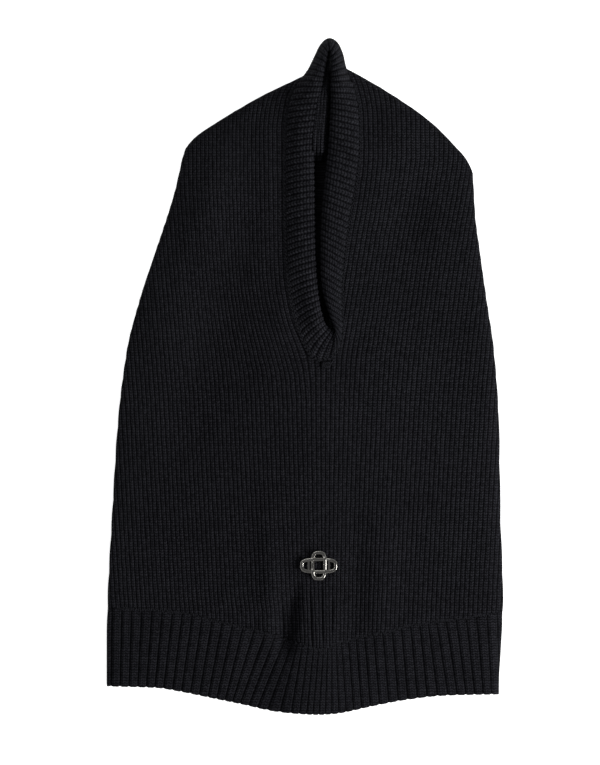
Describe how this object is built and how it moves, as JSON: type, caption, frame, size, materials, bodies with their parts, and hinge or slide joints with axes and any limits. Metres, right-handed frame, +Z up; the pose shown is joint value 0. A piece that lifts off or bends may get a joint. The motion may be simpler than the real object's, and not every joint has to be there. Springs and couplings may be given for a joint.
{
  "type": "balaclava",
  "caption": "Knitted hooded balaclava lying flat, with a folded rib trim round the face opening, a deep rib hem and a small polished badge.",
  "frame": {"origin": "middle of the garment's footprint, on the surface that it lies on", "axes": "+X across the garment, +Y from the neck hem to the crown, +Z up out of the front, on which the face opening lies"},
  "size_m": [0.2432, 0.4128, 0.021],
  "materials": {
    "body_knit": "fine 1x1 rib knit, matt black",
    "hem_knit": "2x2 rib knit, matt black",
    "trim_knit": "folded double rib knit, matt black",
    "linking_yarn": "matt black yarn",
    "badge_metal": "polished dark chrome",
    "plate_metal": "plain",
    "label_satin": "woven satin, black",
    "care_satin": "woven satin, off-white",
    "label_thread": "sewing thread, black"
  },
  "bodies": {
    "root": {"front_panel": "body_knit", "back_panel": "body_knit", "front_hem_band": "hem_knit", "back_hem_band": "hem_knit", "front_hem_linking": "linking_yarn", "back_hem_linking": "linking_yarn", "face_trim": "trim_knit", "trim_linking_chain": "linking_yarn", "trim_bar_tack": "linking_yarn", "side_seam_left": "linking_yarn", "side_seam_right": "linking_yarn", "crown_seam_left": "linking_yarn", "crown_seam_right": "linking_yarn", "badge_emblem": "badge_metal", "badge_legs": "badge_metal", "badge_backing_plate": "plate_metal", "neck_label": "label_satin", "neck_label_stitches": "label_thread", "care_label": "care_satin", "care_label_stitches": "label_thread"}
  },
  "joints": []
}
